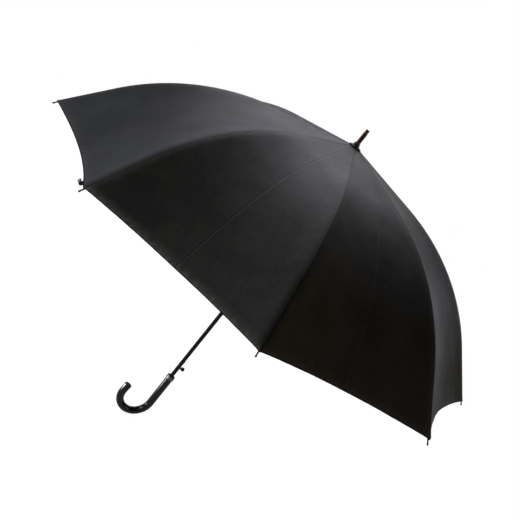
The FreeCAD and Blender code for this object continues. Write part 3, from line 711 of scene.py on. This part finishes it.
def hem_rise(along, across):
    """How far the doubled, gathered hem stands proud and turns outwards."""
    from_hem = hem_along(across) - along
    rise = HEM_LIFT * max(0.0, min(1.0, (HEM_WIDTH - from_hem) / HEM_STEP))
    rise += HEM_FLARE * math.exp(-from_hem / HEM_FLARE_LENGTH) * off_lines(across)
    from_rib = across * half_chord_at(along)
    shifted = from_rib + GATHER_SHIFT * math.sin(from_rib * GATHER_SHIFT_RATE)
    gather = GATHER_HEIGHT * math.sin(2 * math.pi * shifted / GATHER_LENGTH)
    return rise - gather * math.exp(-(from_hem / GATHER_REACH) ** 2) * off_lines(across)


def corner_pulls(along, across, side, number):
    """Shallow pulls that run up and in from each hem corner."""
    share = along / EDGE_LENGTH
    outer = max(0.0, (share - PULL_START) / (1 - PULL_START))
    phase = number * PULL_PHASES[0] + side * PULL_PHASES[1]
    wave = math.sin(across * PULL_RATES[0] + (1 - share) * PULL_RATES[1] + phase)
    near_corner = math.exp(-((across - PULL_PLACE) / PULL_SPREAD) ** 2) * outer ** 2
    return PULL_HEIGHT * wave * near_corner * math.sin(math.pi * across) ** 2


def cloth_point(along, across, side, number, depth):
    """A point of the cloth: along the rib's edge, across from the rib (0) to mid-panel (1)."""
    radius, height = edge_point(along)
    chord, down = panel_directions(along, side)
    flat = Vector((radius, 0, height)) + chord * (across * half_chord_at(along))
    inward = (chord.cross(down) * side).normalized()
    sunk = depth + panel_sag(along, across) - fold_and_puckers(along, across, side, number)
    sunk += corner_pulls(along, across, side, number) - hem_rise(along, across)
    return flat + inward * sunk


def across_steps():
    """Closer together at the rib and at the fold, where the detail is."""
    shares = [cell / ACROSS_CELLS for cell in range(ACROSS_CELLS + 1)]
    return [share - ACROSS_CROWDING * math.sin(2 * math.pi * share) for share in shares]


def row_shares(begin, end):
    """Evenly spaced shares of the way from one place along the rib's edge to another."""
    rows = max(LEAST_ROWS, round((end - begin) / ALONG_STEP))
    return [row / rows for row in range(rows + 1)]


def cloth_piece(number, side, band, begin, end):
    """One band of half a panel, which rides on its rib."""
    turn = Matrix.Rotation(rib_bearing(number), 4, "Z")
    at_hem = end > EDGE_LENGTH - TOLERANCE
    shares = row_shares(begin, end)
    if at_hem:
        shares = [1 - (1 - share) ** HEM_CROWDING for share in shares]
    levels = [(share, 0.0, 0.0) for share in shares]
    if abs(end - BRACKET_ALONG) < TOLERANCE:
        levels += [(1.0, UNDERLAP_STEP, UNDERLAP_DEPTH), (1.0, UNDERLAP_LENGTH, UNDERLAP_DEPTH)]
    lines = []
    for share, beyond, sunk in levels:
        line = {"top": [], "bottom": [], "cloth": [], "edges": [], "fold": []}
        for across in across_steps():
            stop = hem_along(across) if at_hem else end
            along = begin + (stop - begin) * share + beyond
            half_chord = half_chord_at(along)
            lower = sunk + CLOTH_THICKNESS
            line["top"].append(turn @ cloth_point(along, across, side, number, sunk))
            line["bottom"].append(turn @ cloth_point(along, across, side, number, lower))
            line["cloth"].append((across * half_chord * side, along))
            line["edges"].append(((1 - across) * half_chord, hem_along(across) - along))
            line["fold"].append((panel_fold(side, number), max(0, side)))
        if side < 0:
            line = {key: values[::-1] for key, values in line.items()}
        lines.append(line)
    name = "cloth_%d_%s_%d" % (number, "left" if side > 0 else "right", band)
    piece = sheet_of_lines(name, lines, CANOPY_CLOTH)
    if begin > BRACKET_ALONG - TOLERANCE:
        install(piece, "rib_end_%d" % number, "canopy_fabric", "canopy_outer_%d" % number)
    else:
        install(piece, "rib_%d" % number, "canopy_fabric", "canopy_inner_%d" % number)
    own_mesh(piece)


def seam_piece(name, body, number, begin, end):
    """The felled seam over a rib: a narrow low band, slightly uneven."""
    turn = Matrix.Rotation(rib_bearing(number), 4, "Z")
    lines = []
    for along_share in row_shares(begin, end):
        along = begin + (end - begin) * along_share
        radius, height = edge_point(along)
        slope = slope_at(along)
        outward = Vector((math.sin(slope), 0, math.cos(slope)))
        wander = SEAM_WANDER * math.sin(2 * math.pi * along / SEAM_WANDER_LENGTH + number)
        line = {"top": [], "bottom": [], "cloth": [], "edges": []}
        for share in SEAM_PROFILE:
            sideways = share * SEAM_HALF_WIDTH
            fall = sideways ** 2 / RIB_ROUND * rib_bend(slope)
            base = Vector((radius, sideways + wander, height)) - outward * fall
            lift = SEAM_LIFT * math.sqrt(max(0.0, 1 - share * share)) + SEAM_EDGE_LIFT
            line["top"].append(turn @ (base + outward * lift))
            line["bottom"].append(turn @ (base - outward * SEAM_SINK))
            line["cloth"].append((sideways, along))
            line["edges"].append((FAR, EDGE_LENGTH - along))
        lines.append(line)
    install(sheet_of_lines(name, lines, SEAM_CLOTH), body, "canopy_fabric")


def make_canopy():
    """Every half panel in its bands, and the seams over the ribs."""
    stops = [share * EDGE_LENGTH for share in INNER_DIVISIONS] + [BRACKET_ALONG]
    stops += [share * EDGE_LENGTH for share in OUTER_DIVISIONS]
    for number in range(1, RIB_COUNT + 1):
        for side in (1, -1):
            for band, (begin, end) in enumerate(zip(stops, stops[1:])):
                cloth_piece(number, side, band, begin, end)
        seam_piece("seam_inner_%d" % number, "rib_%d" % number, number, SEAM_START, BRACKET_ALONG)
        seam_piece("seam_outer_%d" % number, "rib_end_%d" % number, number, BRACKET_ALONG, EDGE_LENGTH)


# ---- small soft and sprung pieces ------------------------
CROWN_CLOTH_RADII = (0.0055, 0.0168)
CROWN_CLOTH_LIFT = 0.0008      # above the canopy's start
CROWN_CLOTH_STEPS = 8
SPRING_WIRE = 0.00055          # the wire's radius
SPRING_MEAN = 0.0035
SPRING_TURNS = 38
SPRING_PER_TURN = 20
SPRING_AROUND = 7
LEAF_THICKNESS = 0.0004        # the catch's leaf spring
LEAF_HALF_WIDTH = 0.0012
LEAF_BENDS = (0.017, 0.019, 0.031, 0.033)      # heights of the four bends in its step outwards
STRAP_REACH = 0.004            # from the strap's hinge to its fold
STRAP_SPREAD = 0.0062          # between its two layers
STRAP_BACK = 0.058             # length of the layer that runs back up inside
STRAP_THICKNESS = 0.0011
STRAP_ROOT_LIFT = 0.0006       # how far outside its hinge the strap's middle line starts
STRAP_STEPS = (6, 12, 24)      # along its outer layer, round its fold and along its inner layer
STRAP_WAVE = 0.0006
STRAP_WAVE_RATE = 0.55         # radians from one step of the inner layer to the next
STRAP_WAVE_FADE = 6            # steps in which the wave grows
STRAP_MAP_START = 0.0025       # what the edge map says at the strap's edge
# across the strap: share of its half width, and how far its face stands out, in thicknesses
STRAP_PROFILE = (
    (-1.0, -0.3), (-0.94, 0.1), (-0.80, 0.12), (-0.5, 0.0), (0.0, 0.02),
    (0.5, 0.0), (0.80, 0.12), (0.94, 0.1), (1.0, -0.3),
)
SNAP_SEGMENTS = 40
SNAP_ROUND = 0.0002
SNAP_OUTLINES = {
    "snap_rim": (
        (0.0008, -0.0006), (0.0032, -0.0006), (0.0032, 0.0002),
        (0.0026, 0.0005), (0.0019, 0.0001), (0.0008, 0.0001),
    ),
    "snap_stud": (
        (0.00001, 0.0), (0.0016, 0.0), (0.0016, 0.0006), (0.0009, 0.0010), (0.00001, 0.0011),
    ),
}
RUNNER_WIRE = 0.0006           # the wire's radius
RUNNER_WIRE_CORNERS = 10
RING_SEGMENTS = 96


def make_crown_cloth():
    """A round of black cloth under the rosette, over the canopy's centre."""
    inner, outer = CROWN_CLOTH_RADII
    upper = []
    for step in range(CROWN_CLOTH_STEPS + 1):
        radius = inner + (outer - inner) * step / CROWN_CLOTH_STEPS
        fall = max(0.0, radius - CROWN_HOLE_RADIUS) * math.tan(CROWN_SLOPE)
        upper.append((radius, START_Z + CROWN_CLOTH_LIFT - fall))
    lower = [(radius, height - CLOTH_THICKNESS) for radius, height in reversed(upper)]
    piece = lathe("crown_cloth", upper + lower, CROWN_CLOTH, RING_SEGMENTS)
    install(piece, "shaft", "canopy_fabric")


def make_spring():
    """The opening spring: a coil."""
    low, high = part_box("opening_spring")
    rise = high.z - low.z - 2 * SPRING_WIRE
    total = SPRING_TURNS * SPRING_PER_TURN
    vertices = []
    for step in range(total + 1):
        angle = 2 * math.pi * step / SPRING_PER_TURN
        radial = Vector((math.cos(angle), math.sin(angle), 0))
        centre = radial * SPRING_MEAN + Vector((0, 0, low.z + SPRING_WIRE + rise * step / total))
        for corner in range(SPRING_AROUND):
            turn = 2 * math.pi * corner / SPRING_AROUND
            round_wire = radial * math.cos(turn) + Vector((0, 0, math.sin(turn)))
            vertices.append(centre + round_wire * SPRING_WIRE)
    faces = []
    for step in range(total):
        here = step * SPRING_AROUND
        beyond = here + SPRING_AROUND
        for corner in range(SPRING_AROUND):
            after = (corner + 1) % SPRING_AROUND
            faces.append([here + corner, here + after, beyond + after, beyond + corner])
    faces.append(list(range(SPRING_AROUND)))
    faces.append([total * SPRING_AROUND + corner for corner in reversed(range(SPRING_AROUND))])
    piece = finish_mesh("opening_spring_coil", vertices, faces, WIRE)
    install(piece, "shaft", "spring_steel", "opening_spring")
    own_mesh(piece)


def path_normals(path):
    """For each point of a path in an upright plane, the direction square to it in that plane."""
    normals = []
    for place in range(len(path)):
        ahead = path[min(place + 1, len(path) - 1)] - path[max(place - 1, 0)]
        normals.append(Vector((ahead.z, 0, -ahead.x)).normalized())
    return normals


def make_catch_spring():
    """The bent leaf behind the catch."""
    low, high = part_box("catch_spring")
    near = low.x + LEAF_THICKNESS / 2
    far = high.x - LEAF_THICKNESS / 2
    outwards = (near, near, low.x + LEAF_THICKNESS * 1.4, high.x - LEAF_THICKNESS * 1.2, far, far)
    rises = (0.0, *LEAF_BENDS, high.z - low.z)
    path = [Vector((x, 0, low.z + rise)) for x, rise in zip(outwards, rises)]
    edges = [Vector((0, share * LEAF_HALF_WIDTH, 0)) for share in (-1, 1)]
    top, bottom = [], []
    for point, normal in zip(path, path_normals(path)):
        face = normal * (LEAF_THICKNESS / 2)
        top.append([point + face + edge for edge in edges])
        bottom.append([point - face + edge for edge in edges])
    piece = sheet("catch_leaf", top, bottom, WIRE, {})
    install(piece, "shaft", "spring_steel", "catch_spring")
    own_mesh(piece)


def strap_directions():
    """Down along the strap's outer layer, and from that layer in to the inner one."""
    slope = math.atan(math.tan(HEM_SLOPE) / math.cos(HALF_STEP))
    down = Vector((-math.cos(slope), 0, -math.sin(slope)))
    under = Vector((math.sin(slope), 0, -math.cos(slope)))
    return down, under


def strap_path():
    """The strap's middle line: from the hem to its fold, round it and back up inside."""
    hinge = Vector(JOINTS["strap_swing"]["pos_m"])
    down, under = strap_directions()
    root = Vector((hinge.x, 0, hinge.z)) - under * STRAP_ROOT_LIFT
    fold_start = root + down * STRAP_REACH
    half_spread = STRAP_SPREAD / 2
    outer, fold, inner = STRAP_STEPS
    path = [root + down * (STRAP_REACH * step / outer) for step in range(outer + 1)]
    for step in range(1, fold):
        angle = math.pi * step / fold
        round_fold = under * (1 - math.cos(angle)) + down * math.sin(angle)
        path.append(fold_start + round_fold * half_spread)
    for step in range(inner + 1):
        wave = STRAP_WAVE * math.sin(step * STRAP_WAVE_RATE) * min(1.0, step / STRAP_WAVE_FADE)
        path.append(fold_start + under * (STRAP_SPREAD + wave) - down * (STRAP_BACK * step / inner))
    return path


def make_strap_band():
    """The folded closure strap with raised edges."""
    low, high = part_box("strap")
    half_width = (high.y - low.y) / 2
    centre_y = (low.y + high.y) / 2
    path = strap_path()
    lines = []
    travelled = 0.0
    for before, point, normal in zip(path[:1] + path, path, path_normals(path)):
        travelled += (point - before).length
        line = {"top": [], "bottom": [], "cloth": [], "edges": []}
        for share, lift in STRAP_PROFILE:
            base = Vector((point.x, centre_y + share * half_width, point.z))
            face = normal * (STRAP_THICKNESS * (0.5 + lift))
            line["top"].append(base + face)
            line["bottom"].append(base - face)
            line["cloth"].append((travelled, share * half_width))
            line["edges"].append((FAR, (1 - abs(share)) * half_width + STRAP_MAP_START))
        lines.append(line)
    install(sheet_of_lines("strap_band", lines, STRAP_CLOTH), "strap", "strap_fabric", "strap")


def make_press_stud():
    """The strap's two-part press stud."""
    low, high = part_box("strap_snap")
    under = strap_directions()[1]
    for name, corners in SNAP_OUTLINES.items():
        outline = arc_outline(corners, SNAP_ROUND)
        piece = lathe(name, outline, BRIGHT, SNAP_SEGMENTS, (low + high) / 2, -under)
        install(piece, "strap", "snap_metal", "strap_snap")


def make_runner_wire():
    """The wire that the stretcher feet hang on inside the runner's head.

    A stretcher's hinge on its rib is level with the middle between the notch's wire and this one.
    """
    centre_r, notch_z = NOTCH_PIVOT
    foot_z = 2 * joint_plane_point("stretcher_hinge_1")[1] - notch_z
    ring = []
    for step in range(RUNNER_WIRE_CORNERS):
        angle = 2 * math.pi * step / RUNNER_WIRE_CORNERS
        ring.append((centre_r + RUNNER_WIRE * math.cos(angle), foot_z + RUNNER_WIRE * math.sin(angle)))
    piece = lathe("runner_wire", ring, WIRE, RING_SEGMENTS, sharp=80)
    install(piece, "runner", "spring_steel")


# ---- finishes for the CAD parts that stay ----------------

FINISHES = {
    "shaft_tube": ENAMEL,
    "crook_handle": LACQUER,
    "handle_collar": PEWTER,
    "handle_plug": BLACK_PLASTIC,
    "spring_seat": BLACK_PLASTIC,
    "top_notch": BLACK_PLASTIC,
    "notch_wire": WIRE,
    "rosette": BLACK_PLASTIC,
    "crown_cap": BLACK_PLASTIC,
    "ferrule": BRONZE,
    "ferrule_tip": BRONZE,
    "button_guide": BRIGHT,
    "runner_sleeve": BLACK_PLASTIC,
    "drive_pin": BRIGHT,
    "button_cap": BUTTON_PLASTIC,
    "button_stem": BRIGHT,
}


def finish_cad_parts():
    """Gives each CAD part that stays visible its material."""
    for name, node in frame["nodes"].items():
        material = FINISHES.get(name)
        if name.startswith(("rib_inner", "rib_outer", "stretcher")):
            material = RIB_ROD
        if material is None:
            continue
        node.data.materials.clear()
        node.data.materials.append(material)


# ---- studio ----------------------------------------------
CAMERA_PLACE = Vector((-1.2107, -1.9682, CROWN_Z + 0.2409))
CAMERA_RIGHT = Vector((0.74679, -0.27523, 0.60544))
CAMERA_UP = Vector((-0.43291, 0.48991, 0.75669))
CAMERA_LENS = 70.05
CAMERA_SENSOR = 36.0
CAMERA_NEAR = 0.01
LIGHT_CENTRE = Vector((0, 0, 0.5))
LIGHT_DISTANCE = 3.0
LIGHT_SIZE = 1.3
# name, bearing, elevation, watts in red, green and blue
LIGHTS = (
    ("back_high", 90, 52, (27.6, 27.2, 29.9)),
    ("left_low", 180, 20, (15.2, 14.9, 14.8)),
    ("side_high", 45, 52, (4.2, 4.4, 4.4)),
    ("back_low", 90, 20, (5.2, 5.1, 5.9)),
    ("back_left", 135, 20, (3.8, 4.1, 4.2)),
    ("left_high", 180, 52, (4.5, 4.4, 3.2)),
    ("right_back", 45, 20, (1.6, 1.5, 1.1)),
    ("right_front", 315, 20, (4.2, 3.2, 2.1)),
    ("crown_sheen", 61, 30, (7.0, 7.0, 7.6)),
    ("right_low", 0, 20, (1.6, 1.2, 0.4)),
)
# small lights that only some hard parts receive: name, aim, distance, size, bearing, elevation, watts
HARDWARE_LIGHTS = (
    ("lower_hardware", ("crook_handle", "handle_collar", "handle_plug"), (
        ("hook_glint", (-0.300, 0.085, 0.0), 0.138, 0.10, 0, -90, (0.85, 0.85, 0.85)),
        ("floor_card", (-0.48, 0.20, 0.0), 0.138, 0.60, 0, -90, (0.45, 0.41, 0.37)),
        ("handle_fill", (-0.02, 0, -0.06), 1.6, 1.5, 215, 35, (3.4, 3.1, 2.8)),
    )),
    ("upper_hardware", ("ferrule", "ferrule_tip"), (
        ("crown_left", (0, 0, 0.74), 1.4, 0.9, 160, 15, (12.0, 10.8, 9.6)),
        ("crown_right", (0, 0, 0.74), 1.4, 0.7, 325, 25, (34.0, 30.5, 28.0)),
    )),
)
FLOOR_GAP = 0.002              # how far the floor is below the crook
FLOOR_SIZE = (0.0001, 4.0)     # inner and outer radius
FLOOR_THICKNESS = 0.01
FLOOR_FADE = (0.6, 2.2)        # the distances between which it fades into the backdrop
FLOOR_GREY = 0.36
FLOOR_GLOW = (0.14, 0.96)      # as a source of light, and to the eye
WHITE = (1.0, 1.0, 1.0)
SURROUND = (0.95, 0.97, 1.0)
SURROUND_STRENGTH = 0.01


def make_camera():
    data = bpy.data.cameras.new("camera")
    data.lens = CAMERA_LENS
    data.sensor_width = CAMERA_SENSOR
    data.clip_start = CAMERA_NEAR
    camera = link(bpy.data.objects.new("camera", data))
    back = CAMERA_RIGHT.cross(CAMERA_UP)
    camera.matrix_world = Matrix((
        (CAMERA_RIGHT.x, CAMERA_UP.x, back.x, CAMERA_PLACE.x),
        (CAMERA_RIGHT.y, CAMERA_UP.y, back.y, CAMERA_PLACE.y),
        (CAMERA_RIGHT.z, CAMERA_UP.z, back.z, CAMERA_PLACE.z),
        (0, 0, 0, 1),
    ))
    bpy.context.scene.camera = camera


def make_light(name, centre, distance, size, bearing, elevation, colour):
    """A round soft light seen from its centre of aim at a bearing from +X and an elevation.

    Its colour carries its power in watts.
    """
    data = bpy.data.lights.new(name, "AREA")
    data.shape = "DISK"
    data.size = size
    data.energy = max(colour)
    data.color = [part / max(colour) for part in colour]
    light = link(bpy.data.objects.new(name, data))
    level = math.cos(math.radians(elevation))
    across = math.radians(bearing)
    aim = Vector((math.cos(across) * level, math.sin(across) * level, math.sin(math.radians(elevation))))
    light.location = centre + aim * distance
    light.rotation_mode = "QUATERNION"
    light.rotation_quaternion = (-aim).to_track_quat("-Z", "Y")
    light.visible_camera = False
    return light


def make_floor():
    """A plain pale floor that fades into the backdrop."""
    graph = Graph("studio_floor")
    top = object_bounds()[0].z - FLOOR_GAP
    under = top - FLOOR_THICKNESS
    inner, outer = FLOOR_SIZE
    outline = [(inner, top), (outer, top), (outer, under), (inner, under)]
    floor = lathe("floor", outline, graph.material, RING_SEGMENTS)
    seen = graph.add("ShaderNodeLightPath").outputs["Is Camera Ray"]
    graph.set(
        Base_Color=(FLOOR_GREY, FLOOR_GREY, FLOOR_GREY),
        Roughness=0.9,
        Specular_IOR_Level=0.0,
        Emission_Color=WHITE,
        Emission_Strength=graph.ramp(seen, (0.0, 1.0), FLOOR_GLOW),
        Alpha=graph.ramp(graph.from_axis(graph.coordinates()), FLOOR_FADE, (1.0, 0.0)),
    )


def make_world():
    """White backdrop to the eye; a faint even surround for light and reflections."""
    world = bpy.data.worlds.new("studio")
    bpy.context.scene.world = world
    world.use_nodes = True
    nodes = world.node_tree.nodes
    links = world.node_tree.links
    nodes.clear()
    output = nodes.new("ShaderNodeOutputWorld")
    mix = nodes.new("ShaderNodeMixShader")
    path = nodes.new("ShaderNodeLightPath")
    links.new(path.outputs["Is Camera Ray"], mix.inputs["Fac"])
    for socket, colour, strength in ((1, SURROUND, SURROUND_STRENGTH), (2, WHITE, 1.0)):
        background = nodes.new("ShaderNodeBackground")
        background.inputs["Color"].default_value = (*colour, 1.0)
        background.inputs["Strength"].default_value = strength
        links.new(background.outputs["Background"], mix.inputs[socket])
    links.new(mix.outputs["Shader"], output.inputs["Surface"])


def make_studio():
    bpy.context.scene.view_settings.view_transform = "Standard"
    make_camera()
    make_world()
    make_floor()
    for name, bearing, elevation, colour in LIGHTS:
        make_light(name, LIGHT_CENTRE, LIGHT_DISTANCE, LIGHT_SIZE, bearing, elevation, colour)
    for label, nodes, lights in HARDWARE_LIGHTS:
        receivers = bpy.data.collections.new(label)
        for node in nodes:
            receivers.objects.link(frame["nodes"][node])
        for name, centre, distance, size, bearing, elevation, colour in lights:
            light = make_light(name, Vector(centre), distance, size, bearing, elevation, colour)
            light.light_linking.receiver_collection = receivers


make_canopy()
make_crown_cloth()
make_spring()
make_catch_spring()
make_strap_band()
make_press_stud()
make_runner_wire()
finish_cad_parts()
make_studio()
